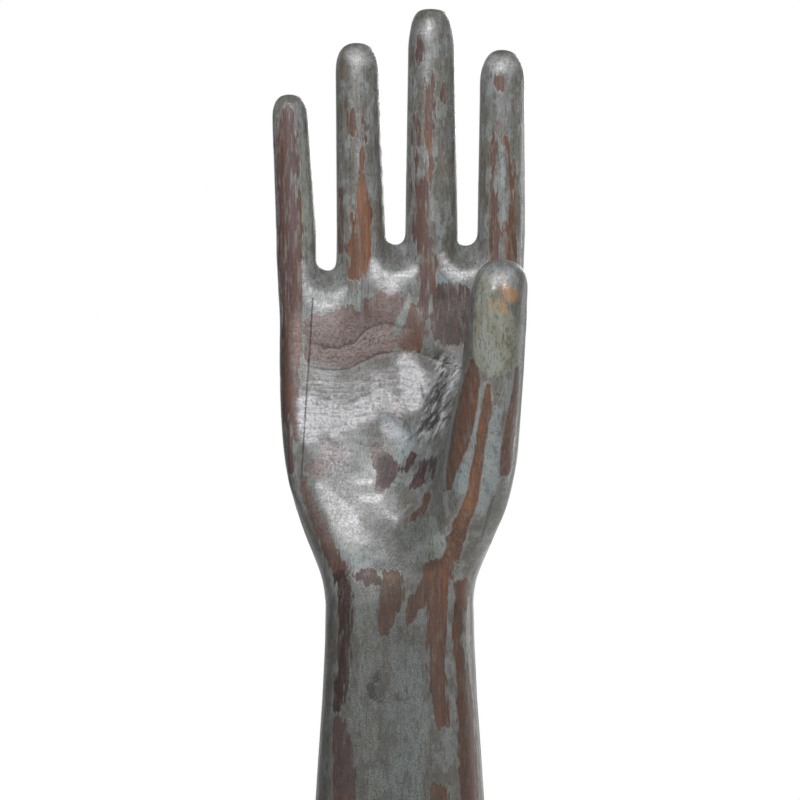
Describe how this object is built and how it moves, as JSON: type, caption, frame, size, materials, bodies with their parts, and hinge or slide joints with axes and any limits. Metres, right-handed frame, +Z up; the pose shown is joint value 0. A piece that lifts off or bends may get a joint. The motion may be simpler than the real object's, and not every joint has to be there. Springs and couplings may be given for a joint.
{
  "type": "wooden hand mannequin",
  "caption": "Carved wooden glove-mould hand with straight upright fingers and a forward thumb, grey paint worn through to brown wood, standing on its sawn forearm.",
  "frame": {"origin": "middle of the sawn base of the forearm, at the mouth of the peg socket", "axes": "+Z up the forearm to the fingertips, -Y out of the palm, +X towards the thumb"},
  "size_m": [0.0916, 0.084, 0.4],
  "materials": {
    "worn_paint_on_wood": "old grey paint, satin, worn to oiled brown wood",
    "dowel_wood": "bare turned hardwood"
  },
  "bodies": {
    "root": {"main_block": "worn_paint_on_wood", "little_finger_stave": "worn_paint_on_wood", "thumb_block": "worn_paint_on_wood", "thumb_dowel_low": "dowel_wood", "thumb_dowel_high": "dowel_wood", "stave_dowel_low": "dowel_wood", "stave_dowel_high": "dowel_wood"}
  },
  "joints": []
}
